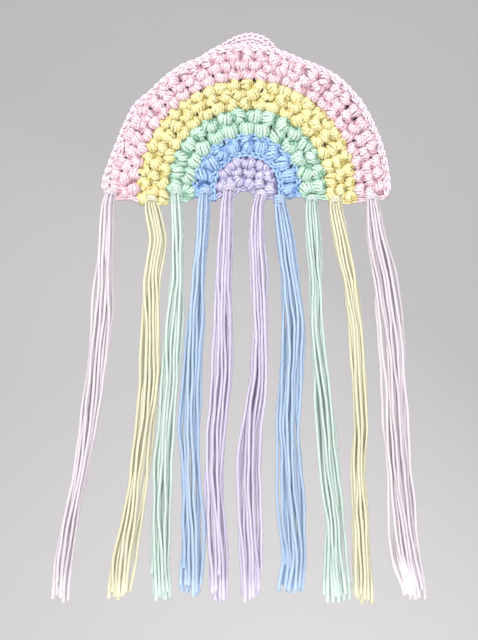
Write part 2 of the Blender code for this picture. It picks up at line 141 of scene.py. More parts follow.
ARCS = (
    ArcPlan(
        YarnColour.LAVENDER,
        0.8,
        21.6,
        (),
        (),
        (
            (16.3, -0.9, 4.9, 4.9), (15.6, 8.0, 4.9, 4.8), (11.0, 14.9, 5.2, 5.0), (0.9, 17.6, 5.3, 4.8),
            (-8.9, 16.6, 5.2, 4.8), (-15.4, 10.8, 5.0, 4.8), (-17.5, 2.0, 4.9, 5.0), (1.8, 10.6, 4.6, 4.4),
            (-5.3, 5.2, 4.3, 5.1), (1.8, 2.9, 4.1, 4.8), (8.6, 2.7, 4.1, 5.0), (-10.9, 4.0, 3.8, 4.4),
            (8.8, 8.7, 3.9, 3.9), (-7.2, 11.0, 3.9, 3.7),
        ),
    ),
    ArcPlan(YarnColour.BLUE, 21.6, 37.4, (PuffRow(30.4, 11, 5.4),), (23.8, 36.2)),
    ArcPlan(YarnColour.GREEN, 37.4, 55.8, (PuffRow(41.6, 13, 4.9), PuffRow(50.8, 16, 4.9, 0.35))),
    ArcPlan(
        YarnColour.YELLOW,
        55.8,
        YELLOW_OUTSIDE,
        (PuffRow(59.0, 21, 3.9), PuffRow(66.0, 22, 3.9, 0.35), PuffRow(72.4, 27, 3.7)),
    ),
    ArcPlan(
        YarnColour.PINK,
        YELLOW_OUTSIDE,
        98.6,
        (PuffRow(79.2, 27, 3.9, 0.35), PuffRow(86.0, 30, 3.9), PuffRow(92.2, 31, 4.5, 0.35)),
    ),
)

# The outer edge as it is worked, uneven: its radius at each angle from the right-hand side.
RIM_DEGREES = (0, 9, 24, 37, 51, 60, 67, 77, 88, 102, 110, 119, 135, 143, 152, 161, 170, 177, 180)
RIM_RADII = (
    100.6, 100.0, 99.7, 101.0, 101.0, 99.2, 97.8, 99.3, 100.9, 101.0,
    96.9, 97.4, 95.8, 98.4, 97.0, 96.5, 98.6, 101.6, 101.6,
)

# The bottom edge, from left to right, as a drop below the arcs' centre.
BOTTOM_X = (
    -101.5, -98.7, -92.4, -81.9, -72.8, -57.4, -53.9, -48.3, -42.7, -39.9, -35.0, -22.4, -18.9, -9.1,
    -6.3, -0.7, 3.5, 6.3, 16.1, 30.1, 37.1, 56.7, 68.6, 77.0, 93.1, 97.3, 100.6,
)
BOTTOM_DROPS = (
    -2.5, 1.4, 8.4, 7.7, 10.9, 11.6, 9.1, 7.7, 10.2, 5.6, 5.6, 8.4, 5.8, 5.6,
    2.1, 1.7, 2.8, 6.3, 7.4, 6.3, 6.0, 8.4, 11.2, 9.8, 8.4, 7.0, 0.0,
)

# The middle line of the hanging loop's strap, from its left end over the crown to its right end.
STRAP_X = (-31.0, -24.0, -14.0, -5.0, 4.0, 12.0, 17.5, 20.0)
STRAP_Z = (-26.0, -18.0, -11.4, -6.6, -5.2, -8.2, -14.5, -24.0)

# Where each bundle hangs: its middle and its width at these drops below the arcs' centre, then at its ends.
SECTION_DROPS = (12, 36, 64, 96, 131, 169, 201, 232, 260)


@dataclass(frozen=True)
class TasselPlan:
    """A tassel: where its knot sits, how many strands it has and the places its bundle hangs through."""

    side: str
    colour: YarnColour
    strands: int
    knot_x: float
    knot_drop: float
    end_drop: float
    middles: tuple[float, ...]
    widths: tuple[float, ...]
    knot_turn: float = 0.0
    knot: Knot = Knot.HOOD

    @property
    def node(self) -> str:
        """The name of the tassel's solid."""
        return f"tassel_{self.colour.value}_{self.side}"


TASSELS = (
    TasselPlan(
        "left", YarnColour.PINK, 14, -95.5, 4.5, 285.5,
        (-97.5, -98.5, -100.5, -102.5, -106.5, -111.5, -117.0, -123.5, -129.0, -131.0),
        (9.5, 11.5, 14.0, 16.0, 16.5, 14.0, 11.5, 11.5, 13.5, 12.0), 8.0,
    ),
    TasselPlan(
        "left", YarnColour.YELLOW, 14, -67.2, 9.1, 284.0,
        (-67.0, -62.5, -67.0, -67.5, -68.5, -72.5, -76.5, -81.0, -87.0, -90.0),
        (12.5, 14.0, 14.0, 14.5, 15.5, 14.5, 16.0, 16.5, 19.0, 17.0), -12.0,
    ),
    TasselPlan(
        "left", YarnColour.GREEN, 14, -49.2, 4.2, 285.5,
        (-49.0, -48.5, -49.0, -52.0, -54.0, -57.0, -59.5, -61.0, -61.0, -60.0),
        (9.0, 9.0, 9.5, 14.0, 14.5, 12.5, 14.5, 14.5, 14.5, 16.0), 6.0,
    ),
    TasselPlan(
        "left", YarnColour.BLUE, 14, -29.4, 3.8, 281.5,
        (-30.0, -31.5, -34.0, -36.5, -39.0, -41.0, -39.5, -39.0, -39.0, -40.0),
        (10.5, 10.0, 9.5, 13.0, 14.0, 16.0, 15.0, 18.0, 18.0, 18.0), 4.0,
    ),
    TasselPlan(
        "left", YarnColour.LAVENDER, 14, -12.7, 1.4, 285.0,
        (-14.0, -15.0, -17.0, -17.5, -17.5, -22.0, -24.0, -22.5, -20.5, -20.0),
        (9.5, 12.0, 13.0, 14.0, 15.5, 16.5, 13.5, 13.0, 14.5, 14.5), 10.0,
    ),
    TasselPlan(
        "right", YarnColour.LAVENDER, 14, 9.9, 5.4, 285.0,
        (7.5, 6.5, 8.0, 9.0, 8.0, 2.5, 0.5, 2.0, 3.0, 3.0),
        (8.5, 12.5, 12.5, 11.5, 13.5, 16.5, 19.0, 19.0, 19.0, 18.0), -25.0,
    ),
    TasselPlan(
        "right", YarnColour.BLUE, 15, 22.9, 8.2, 280.0,
        (23.5, 27.0, 30.5, 32.5, 31.0, 29.5, 30.5, 32.0, 33.0, 30.5),
        (10.0, 15.0, 13.5, 16.0, 19.0, 19.5, 20.5, 20.5, 18.0, 20.5), 0.0, Knot.COLLAR,
    ),
    TasselPlan(
        "right", YarnColour.GREEN, 14, 45.6, 8.7, 285.5,
        (45.0, 46.5, 48.0, 48.5, 51.5, 55.0, 57.0, 60.5, 61.5, 62.5),
        (10.5, 11.5, 9.5, 10.0, 12.0, 15.5, 15.5, 15.5, 18.0, 21.5), -6.0,
    ),
    TasselPlan(
        "right", YarnColour.YELLOW, 14, 61.8, 9.8, 287.5,
        (61.5, 66.0, 71.5, 75.5, 78.0, 79.5, 78.0, 79.0, 80.0, 80.5),
        (11.0, 12.5, 12.5, 12.0, 11.0, 8.5, 11.0, 13.5, 14.0, 14.0), -10.0,
    ),
    TasselPlan(
        "right", YarnColour.PINK, 15, 87.5, 7.7, 284.0,
        (88.0, 90.5, 96.5, 101.0, 103.0, 104.5, 107.0, 110.0, 112.5, 117.5),
        (11.0, 15.5, 18.5, 19.0, 19.5, 20.5, 20.5, 22.5, 24.0, 17.0), -8.0,
    ),
)


# Positions on the panel


def drop_at(x: float) -> float:
    """How far the bottom edge lies below the arcs' centre at x."""
    return float(np.interp(x, BOTTOM_X, BOTTOM_DROPS))


def worked_radius(radius: float, angle: float) -> float:
    """Stretches a radius in the pink arc so that its outer edge follows the uneven rim.

    Args:
        radius: The radius as planned, in millimetres.
        angle: The angle from the right-hand side, in radians.

    Returns:
        The radius as worked.
    """
    if radius <= YELLOW_OUTSIDE:
        return radius
    rim = float(np.interp(math.degrees(angle), RIM_DEGREES, RIM_RADII))
    stretch = (rim - YELLOW_OUTSIDE) / (EDGING_NOMINAL - YELLOW_OUTSIDE)
    return YELLOW_OUTSIDE + (radius - YELLOW_OUTSIDE) * stretch


def legs(radius: float) -> tuple[float, float]:
    """The lengths of the right and the left leg of a row at this radius."""
    return max(drop_at(worked_radius(radius, 0.0)), 0.0), max(drop_at(-worked_radius(radius, math.pi)), 0.0)


def on_row(radius: float, share: float) -> tuple[np.ndarray, float]:
    """Finds a point at a share of a row, from its right foot over the top to its left foot.

    Args:
        radius: The row's radius.
        share: How far along the row the point lies, from 0 to 1.

    Returns:
        The point in the plane of the panel's back, and the angle of the row there.
    """
    right_leg, left_leg = legs(radius)
    travel = share * (right_leg + math.pi * radius + left_leg)
    angle = (travel - right_leg) / radius
    if angle < 0:
        return np.array([worked_radius(radius, 0.0), 0.0, angle * radius - CENTRE_DROP]), 0.0
    if angle > math.pi:
        below = -(angle - math.pi) * radius
        return np.array([-worked_radius(radius, math.pi), 0.0, below - CENTRE_DROP]), math.pi
    reach = worked_radius(radius, angle)
    return np.array([reach * math.cos(angle), 0.0, reach * math.sin(angle) - CENTRE_DROP]), angle


def row_length(radius: float) -> float:
    """The length of a row at this radius, over the top and down both legs."""
    return math.pi * radius + sum(legs(radius))


def row_path(radius: float, steps: int = 120) -> np.ndarray:
    """The points of a row, from its right foot to its left foot."""
    return np.array([on_row(radius, share)[0] for share in np.linspace(0, 1, steps)])


def outward_at(angle: float) -> np.ndarray:
    """The direction away from the arcs' centre at an angle from the right-hand side."""
    return np.array([math.cos(angle), 0.0, math.sin(angle)])


def smooth_curve(knots: np.ndarray, steps: int) -> np.ndarray:
    """Draws one smooth curve through a few points.

    Args:
        knots: The points, one a row.
        steps: How many points the curve gets.

    Returns:
        The points of the curve.
    """
    ends = np.vstack([2 * knots[0] - knots[1], knots, 2 * knots[-1] - knots[-2]])
    along = np.linspace(0, len(knots) - 1, steps)
    first = np.minimum(along.astype(int), len(knots) - 2)
    t = (along - first)[:, None]
    before, start, end, after = (ends[first + offset] for offset in range(4))
    bend = 2 * before - 5 * start + 4 * end - after
    twist = 3 * start - before - 3 * end + after
    return 0.5 * (2 * start + (end - before) * t + bend * t**2 + twist * t**3)


def turned(first: np.ndarray, second: np.ndarray, angle: float) -> tuple[np.ndarray, np.ndarray]:
    """Turns points from one axis towards another.

    Args:
        first: How far the points lie along the first axis.
        second: How far they lie along the second axis.
        angle: The turn from the first axis towards the second, in radians.

    Returns:
        How far they then lie along each axis.
    """
    cos, sin = math.cos(angle), math.sin(angle)
    return first * cos - second * sin, first * sin + second * cos


def unit(vectors: np.ndarray) -> np.ndarray:
    """The same directions, with a length of one."""
    return vectors / np.maximum(np.linalg.norm(vectors, axis=-1, keepdims=True), 1e-9)


def link_object(name: str, data: bpy.types.ID) -> Object:
    """Makes an object and puts it in the scene.

    Args:
        name: The object's name.
        data: Its mesh, light or camera.

    Returns:
        The object.
    """
    item = bpy.data.objects.new(name, data)
    bpy.context.scene.collection.objects.link(item)
    return item


# Yarn as a mesh


@dataclass(frozen=True)
class Yarn:
    """A plied yarn: its plies, how round it is drawn and how hard it is twisted."""

    plies: int = 3
    sides: int = 6
    lobe: float = 0.12
    twist_length: float = 9.0


@dataclass
class YarnWork:
    """Gathers lengths of yarn and makes one mesh of them."""

    name: str
    yarn: Yarn
    rng: np.random.Generator
    flank_shade: float = 0.24
    points: list[np.ndarray] = field(default_factory=list)
    faces: list[np.ndarray] = field(default_factory=list)
    caps: list[np.ndarray] = field(default_factory=list)
    maps: list[np.ndarray] = field(default_factory=list)
    cap_maps: list[np.ndarray] = field(default_factory=list)
    tones: list[np.ndarray] = field(default_factory=list)
    count: int = 0

    def add(
        self, routes: np.ndarray, radii: np.ndarray, tones: np.ndarray, outwards: np.ndarray | None = None
    ) -> None:
        """Sweeps lengths of yarn that all have as many points.

        Args:
            routes: The middle lines, as lengths by points by three coordinates.
            radii: The yarn's radius at each point of a length, or of every length.
            tones: How light the yarn is painted at each point, from 0 for painted shade in a hollow to 1.
            outwards: The direction out of the work at each point; the yarn's flanks are painted darker, as
                painted shade.
        """
        lengths, points, _ = routes.shape
        sides = self.yarn.sides
        run = unit(np.gradient(routes, axis=1))
        across = self._carried(run)
        third = np.cross(run, across)
        steps = np.linalg.norm(np.diff(routes, axis=1), axis=2)
        travel = np.concatenate([np.zeros((lengths, 1)), np.cumsum(steps, axis=1)], axis=1)
        start = self.rng.uniform(0, 2 * math.pi, (lengths, 1, 1))
        corner = np.arange(sides)
        turn = 2 * math.pi * corner / sides
        angle = turn + start + 2 * math.pi * travel[:, :, None] / self.yarn.twist_length
        lobes = 1 + self.yarn.lobe * np.cos(self.yarn.plies * turn)
        reach = (np.broadcast_to(radii, (lengths, points))[:, :, None] * lobes)[..., None]
        ring = np.cos(angle)[..., None] * across[:, :, None] + np.sin(angle)[..., None] * third[:, :, None]
        self.points.append((routes[:, :, None] + reach * ring).reshape(-1, 3))
        spread_tones = np.repeat(np.broadcast_to(tones, (lengths, points))[:, :, None], sides, axis=2)
        # Painted shade: the yarn's flanks, turned away from the outside of the work, are painted darker.
        if outwards is not None:
            proud = np.clip(np.abs((ring * outwards[:, :, None]).sum(axis=-1)), 0, 1)
            spread_tones = spread_tones - self.flank_shade * (1 - proud) ** 1.5
        self.tones.append(spread_tones.reshape(-1))
        self._add_faces(lengths, points, travel)
        self.count += lengths * points * sides

    def _carried(self, run: np.ndarray) -> np.ndarray:
        """Carries a sideways direction along each length without turning it.

        Args:
            run: The direction of each length at each of its points.

        Returns:
            The sideways direction at each point.
        """
        first = run[:, 0]
        pick = np.eye(3)[np.argmin(np.abs(first), axis=1)]
        across = np.empty_like(run)
        here = unit(np.cross(first, pick))
        for step in range(run.shape[1]):
            along = run[:, step]
            here = unit(here - (here * along).sum(axis=1, keepdims=True) * along)
            across[:, step] = here
        return across

    def _add_faces(self, lengths: int, points: int, travel: np.ndarray) -> None:
        """Joins the rings of each length and closes its two ends.

        Args:
            lengths: How many lengths of yarn there are.
            points: How many points each has.
            travel: How far along its length each point lies.
        """
        sides = self.yarn.sides
        number = self.count + np.arange(lengths * points * sides).reshape(lengths, points, sides)
        beside = np.roll(number, -1, axis=2)
        quads = np.stack([number[:, :-1], beside[:, :-1], beside[:, 1:], number[:, 1:]], axis=-1)
        self.faces.append(quads.reshape(-1, 4))
        around = np.arange(sides + 1) * self.yarn.plies / sides
        along = travel[:, :, None] / MAP_LENGTH
        low, high, first, last = np.broadcast_arrays(around[:-1], around[1:], along[:, :-1], along[:, 1:])
        quad_map = np.stack([low, first, high, first, high, last, low, last], axis=-1)
        self.maps.append(quad_map.reshape(-1))
        self.caps += [number[:, 0, ::-1], number[:, -1]]
        self.cap_maps.append(np.full(lengths * sides * 4, 0.5))

    def build(self) -> Object:
        """Makes one mesh of all the gathered yarn.

        Returns:
            The object that shows it.
        """
        mesh = bpy.data.meshes.new(self.name)
        faces = np.concatenate(self.faces).tolist() + np.concatenate(self.caps).tolist()
        mesh.from_pydata((np.concatenate(self.points) * MM).tolist(), [], faces)
        layer = mesh.uv_layers.new(name=YARN_MAP)
        layer.data.foreach_set("uv", np.concatenate(self.maps + self.cap_maps).astype(np.float32))
        tone = mesh.attributes.new(PAINTED_SHADE_TONE, "FLOAT", "POINT")
        tone.data.foreach_set("value", np.concatenate(self.tones).astype(np.float32))
        mesh.shade_smooth()
        return link_object(self.name, mesh)


# Stitches


@dataclass(frozen=True)
class PuffStitch:
    """A puff stitch: a round ball of loops that start at its foot and close on the upper part of its face.

    The loops run like the meridians of a globe whose axis leans towards the face, each puff's in its own way.
    """

    loops: int = 9
    points: int = 12
    radius: float = 1.45
    fan_degrees: float = 114.0
    fan_noise: float = 5.0
    swirl_degrees: float = 44.0
    least_tilt: float = 22.0
    most_tilt: float = 60.0
    overlap: float = 1.24
    base: float = 2.1
    core: bool = True
    foot_width: float = 0.80
    lean: float = 8.0
    lean_noise: float = 42.0
    # Painted shade: the tone of a ball's hollows, and how much paler its proud parts are painted.
    hollow_shade_tone: float = 0.44
    proud_light_gain: float = 0.60
    # Painted shade: the darker tone of the yarn inside the ball.
    fill_shade_tone: float = 0.42

    def work(
        self, target: YarnWork, at: np.ndarray, outward: np.ndarray, facing: np.ndarray,
        half_width: float, half_height: float, top: float,
    ) -> None:
        """Adds one puff to a piece of work.

        Args:
            target: The work that the puff is added to.
            at: The middle of the puff, in the plane of the panel's back.
            outward: The direction from the puff's foot to its head.
            facing: The direction out of the face that the puff stands on.
            half_width: Half the width of the puff.
            half_height: Half the height of the puff.
            top: How far the puff stands out of the plane of the panel's back.
        """
        rng = target.rng
        sideward = np.cross(outward, facing)
        width = half_width * rng.uniform(1.08, 1.20) - self.radius * 0.7
        height = half_height * self.overlap * rng.uniform(0.96, 1.06) - self.radius * 0.6
        rise = top * rng.uniform(0.91, 1.0) - self.radius - self.base
        side, head, out = self._globe(rng)
        narrow = np.interp(head, (-1.0, 0.1, 1.0), (self.foot_width, 1.0, 0.96))
        uneven = rng.uniform(0.90, 1.05, (self.loops, 1))
        across = width * side * narrow
        up = height * head
        depth = self.base + rise * np.maximum(out, -0.18) * uneven
        routes = at + across[..., None] * sideward + up[..., None] * outward + depth[..., None] * facing
        outwards = unit(side[..., None] * sideward + head[..., None] * outward + out[..., None] * facing)
        t = np.linspace(0, 1, self.points)
        # Painted shade: each loop is painted darker towards its two ends and low on the ball, paler where it
        # stands proud, plus a random tone per loop.
        ends = np.interp(t, (0, 0.2, 0.76, 1), (-0.2, 0, 0, -0.45))
        proud = self.hollow_shade_tone + self.proud_light_gain * np.clip(out, 0, 1) ** 0.8
        tones = proud + ends + rng.uniform(-0.10, 0.10, (self.loops, 1))
        girth = self.radius * np.interp(t, (0, 0.25, 0.8, 1), (0.75, 1.0, 1.0, 0.72))
        target.add(routes, girth * rng.uniform(0.90, 1.10, (self.loops, 1)), tones, outwards)
        if self.core:
            self._fill(target, at, outward * height * 0.80, sideward * width * 0.44, facing * rise)

    def _globe(self, rng: np.random.Generator) -> tuple[np.ndarray, np.ndarray, np.ndarray]:
        """Draws the loops on a round ball of radius one.

        Args:
            rng: Where the unevenness comes from.

        Returns:
            How far sideward, headward and out of the face the points of each loop lie.
        """
        t = np.linspace(0, 1, self.points)
        theta = np.radians(16 + 150 * t)
        swell = np.sin(theta) ** 0.75
        fan = np.linspace(-self.fan_degrees, self.fan_degrees, self.loops)[:, None]
        fan = np.radians(fan + rng.normal(0, self.fan_noise, (self.loops, 1)))
        phi = fan + math.radians(self.swirl_degrees) * rng.uniform(-1.0, 1.4) * (t - 0.5)
        side, head, out = swell * np.sin(phi), -np.cos(theta) + 0 * phi, swell * np.cos(phi)
        tilt = math.radians(rng.uniform(self.least_tilt, self.most_tilt))
        head, out = turned(head, out, tilt)
        lean = math.radians(rng.normal(self.lean, self.lean_noise))
        side, head = turned(side, head, -lean)
        return side, head, out

    def _fill(
        self, target: YarnWork, at: np.ndarray, reach: np.ndarray, aside: np.ndarray, upward: np.ndarray
    ) -> None:
        """Adds the thick yarn inside a puff, which closes the gaps between its loops; it is painted darker,
        as the shade inside the puff.

        Args:
            target: The work that the yarn is added to.
            at: The middle of the puff, in the plane of the panel's back.
            reach: From the middle of the puff to the end of a thick length.
            aside: From the middle length to the one beside it.
            upward: From the base of the puff to its top.
        """
        t = np.linspace(-1, 1, 7)
        taper = np.sqrt(np.clip(1.08 - t**2, 0.05, 1))
        rise = float(np.linalg.norm(upward))
        for hand in (-1, 0, 1):
            level, girth, share = (0.28, 0.44, 0.82) if hand else (0.42, 0.50, 1.0)
            middle = at + hand * aside + (self.base / rise + level) * upward
            route = middle + t[:, None] * reach * share
            target.add(route[None], rise * girth * taper, np.full(7, self.fill_shade_tone))


@dataclass(frozen=True)
class ChainStitch:
    """A line of chain stitches: each one is a loop of two legs, and its end is tucked into the next.

    Opened stitches are pulled wide at their ends, so that each one reads as a V.
    """

    half_width: float
    radius: float = 0.9
    rise: float = 0.7
    points: int = 8
    overlap: float = 0.35
    opened: bool = False

    def work(
        self, target: YarnWork, path: np.ndarray, facing: np.ndarray, stitches: int, tone: float
    ) -> None:
        """Adds a line of stitches to a piece of work.

        Args:
            target: The work that the stitches are added to.
            path: The middle line of the stitches.
            facing: The direction out of their face, one for the line or one for each of its points.
            stitches: How many stitches there are.
            tone: How light the yarn is painted; its low parts are painted darker still, as painted shade.
        """
        rng = target.rng
        steps = np.linalg.norm(np.diff(path, axis=0), axis=1)
        travel = np.concatenate([[0], np.cumsum(steps)])
        pitch = travel[-1] / stitches
        facing = np.broadcast_to(facing, path.shape)
        q = np.linspace(0, 1, self.points)
        first = np.arange(stitches)[:, None] * pitch + rng.normal(0, 0.03, (stitches, 1)) * pitch
        spots = first + q * pitch * (1 + self.overlap)
        at = np.stack([np.interp(spots, travel, path[:, axis]) for axis in range(3)], axis=-1)
        out = unit(np.stack([np.interp(spots, travel, facing[:, axis]) for axis in range(3)], axis=-1))
        run = unit(np.gradient(at, axis=1) + 1e-9)
        side = unit(np.cross(out, run))
        beyond = np.clip(spots - travel[-1], 0, None)[..., None]
        at = at + run * beyond
        if self.opened:
            spread = np.interp(q, (0, 0.2, 0.72, 1), (0.22, 0.40, 1.0, 0.92))
            level = np.interp(q, (0, 0.25, 0.6, 0.85, 1), (-0.2, 0.85, 1.0, 0.1, -1.0))
        else:
            spread = 0.18 + 0.82 * np.sin(math.pi * np.clip(q**0.75, 0, 0.93)) ** 0.8
            level = -0.9 + 1.9 * np.sin(math.pi * (0.08 + 0.72 * q)) ** 0.9
        for hand in (-1, 1):
            sideways = hand * self.half_width * spread * rng.uniform(0.9, 1.1, (stitches, 1))
            height = self.rise * level * rng.uniform(0.85, 1.15, (stitches, 1))
            routes = at + sideways[..., None] * side + height[..., None] * out
            radii = self.radius * (0.82 + 0.22 * np.sin(math.pi * q))
            # Painted shade: the low parts of each stitch are painted darker than the raised parts, with a
            # random tone per stitch.
            tones = tone - 0.20 + 0.35 * level + rng.uniform(-0.06, 0.06, (stitches, 1))
            target.add(routes, radii, tones, out)


# Finishes


def new_group(name: str, inputs: dict[str, str], outputs: dict[str, str]) -> ShaderNodeTree:
    """Makes an empty shader node group.

    Args:
        name: The group's name.
        inputs: The name and the kind of each input.
        outputs: The name and the kind of each output.

    Returns:
        The group, with its input and output nodes.
    """
    group = bpy.data.node_groups.new(name, "ShaderNodeTree")
    for label, kind in inputs.items():
        group.interface.new_socket(name=label, in_out="INPUT", socket_type=kind)
    for label, kind in outputs.items():
        group.interface.new_socket(name=label, in_out="OUTPUT", socket_type=kind)
    group.nodes.new("NodeGroupInput").name = "in"
    group.nodes.new("NodeGroupOutput").name = "out"
    return group


def math_node(tree: ShaderNodeTree, operation: str, first: object, second: object = None) -> object:
    """Adds a math node.

    Args:
        tree: The node tree.
        operation: What the node works out.
        first: The first value or socket.
        second: The second value or socket, if there is one.

    Returns:
        The socket of the result.
    """
    node = tree.nodes.new("ShaderNodeMath")
    node.operation = operation
    for socket, value in zip(node.inputs, (first, second)):
        if isinstance(value, bpy.types.NodeSocket):
            tree.links.new(value, socket)
        elif value is not None:
            socket.default_value = value
    return node.outputs[0]


def set_inputs(node: bpy.types.ShaderNode, **values: object) -> None:
    """Sets the values of a node's inputs.

    Args:
        node: The node.
        values: The value of each input, under its name with underscores for spaces.
    """
    for name, value in values.items():
        node.inputs[name.replace("_", " ")].default_value = value


# How the fibres of a yarn are drawn: how much finer they are than its map, across and along it.
FIBRE_SCALE = 1.6
FIBRE_STRETCH = (5.0, 4.0, 1.0)


def ply_group() -> ShaderNodeTree:
    """Makes the group that draws the plies and fibres of a yarn on the map it carries.

    Returns:
        The group.
    """
    group = new_group(
        "yarn_plies",
        {
            "Yarn": "NodeSocketVector", "Twist": "NodeSocketFloat", "Ply Width": "NodeSocketFloat",
            "Ply Depth": "NodeSocketFloat", "Fibre Depth": "NodeSocketFloat",
        },
        {"Height": "NodeSocketFloat", "Groove": "NodeSocketFloat", "Fibre": "NodeSocketFloat"},
    )
    nodes, links = group.nodes, group.links
    given, out = nodes["in"].outputs, nodes["out"].inputs
    parts = nodes.new("ShaderNodeSeparateXYZ")
    links.new(given["Yarn"], parts.inputs[0])
    turn = math_node(group, "MULTIPLY", parts.outputs[1], given["Twist"])
    twisted = math_node(group, "ADD", parts.outputs[0], turn)
    wave = math_node(group, "SINE", math_node(group, "MULTIPLY", twisted, math.pi))
    ply = math_node(group, "POWER", math_node(group, "ABSOLUTE", wave), given["Ply Width"])
    stretched = nodes.new("ShaderNodeVectorMath")
    stretched.operation = "MULTIPLY"
    stretched.inputs[1].default_value = FIBRE_STRETCH
    links.new(given["Yarn"], stretched.inputs[0])
    fibre = nodes.new("ShaderNodeTexNoise")
    set_inputs(fibre, Scale=FIBRE_SCALE, Detail=3.0, Roughness=0.6)
    links.new(stretched.outputs[0], fibre.inputs["Vector"])
    height = math_node(
        group, "ADD",
        math_node(group, "MULTIPLY", ply, given["Ply Depth"]),
        math_node(group, "MULTIPLY", fibre.outputs[0], given["Fibre Depth"]),
    )
    links.new(height, out["Height"])
    # The groove mask serves as painted shade between the plies and for roughness.
    links.new(math_node(group, "SUBTRACT", 1.0, ply), out["Groove"])
    links.new(fibre.outputs[0], out["Fibre"])
    return group


# How the tint of a yarn varies: the size of its patches, how much the fibres show, how soon a hollow turns
# dark with painted shade, and how rough the yarn is on its plies and in its grooves.
PATCH_SCALE = 85.0
FIBRE_SHARE = 0.35
PIT_SHADE_GAIN = 1.25
PLY_ROUGHNESS = 0.80
GROOVE_ROUGHNESS = 0.12


def tint_group() -> ShaderNodeTree:
    """Makes the group that colours a yarn: painted paler where it stands proud, with painted shade in its
    hollows and grooves.

    Returns:
        The group.
    """
    group = new_group(
        "yarn_tint",
        {
            "Light": "NodeSocketColor", "Deep": "NodeSocketColor", "Tone": "NodeSocketFloat",
            "Groove": "NodeSocketFloat", "Fibre": "NodeSocketFloat", "Place": "NodeSocketVector",
            "Patchiness": "NodeSocketFloat", "Groove Share": "NodeSocketFloat",
        },
        {"Color": "NodeSocketColor", "Roughness": "NodeSocketFloat"},
    )
    nodes, links = group.nodes, group.links
    given, out = nodes["in"].outputs, nodes["out"].inputs
    patches = nodes.new("ShaderNodeTexNoise")
    set_inputs(patches, Scale=PATCH_SCALE, Detail=2.0)
    links.new(given["Place"], patches.inputs["Vector"])
    uneven = math_node(group, "SUBTRACT", patches.outputs[0], 0.5)
    swing = math_node(group, "MULTIPLY", uneven, given["Patchiness"])
    fibres = math_node(group, "MULTIPLY", math_node(group, "SUBTRACT", given["Fibre"], 0.5), FIBRE_SHARE)
    # Painted shade: the colour is deepened in the grooves between the plies.
    groove_shade = math_node(group, "MULTIPLY", given["Groove"], given["Groove Share"])
    tone = math_node(group, "ADD", math_node(group, "SUBTRACT", given["Tone"], groove_shade), swing)
    tone = math_node(group, "ADD", tone, fibres)
    mix = nodes.new("ShaderNodeMix")
    mix.data_type = "RGBA"
    mix.clamp_factor = True
    links.new(tone, mix.inputs["Factor"])
    colour_in = [socket for socket in mix.inputs if socket.type == "RGBA"]
    links.new(given["Deep"], colour_in[0])
    links.new(given["Light"], colour_in[1])
    colour_out = [socket for socket in mix.outputs if socket.type == "RGBA"][0]
    # Painted shade: a tone below zero darkens the colour towards black, for the dark pits.
    lit = math_node(group, "ADD", math_node(group, "MULTIPLY", given["Tone"], PIT_SHADE_GAIN), 1.0)
    lit.node.use_clamp = True
    shaded = nodes.new("ShaderNodeVectorMath")
    shaded.operation = "SCALE"
    links.new(colour_out, shaded.inputs[0])
    links.new(lit, shaded.inputs["Scale"])
    links.new(shaded.outputs[0], out["Color"])
    rough = math_node(group, "MULTIPLY", given["Groove"], GROOVE_ROUGHNESS)
    links.new(math_node(group, "ADD", rough, PLY_ROUGHNESS), out["Roughness"])
    return group


@dataclass(frozen=True)
class Tint:
    """A colour as it is seen, with red, green and blue from 0 to 255."""

    red: int
    green: int
    blue: int

    def linear(self) -> tuple[float, float, float, float]:
        """Turns the colour into light, which is what a shader takes.

        Returns:
            Red, green, blue and a full alpha.
        """
        shares = (self.red / 255, self.green / 255, self.blue / 255)
        light = [share / 12.92 if share <= 0.04045 else ((share + 0.055) / 1.055) ** 2.4 for share in shares]
        return (*light, 1.0)


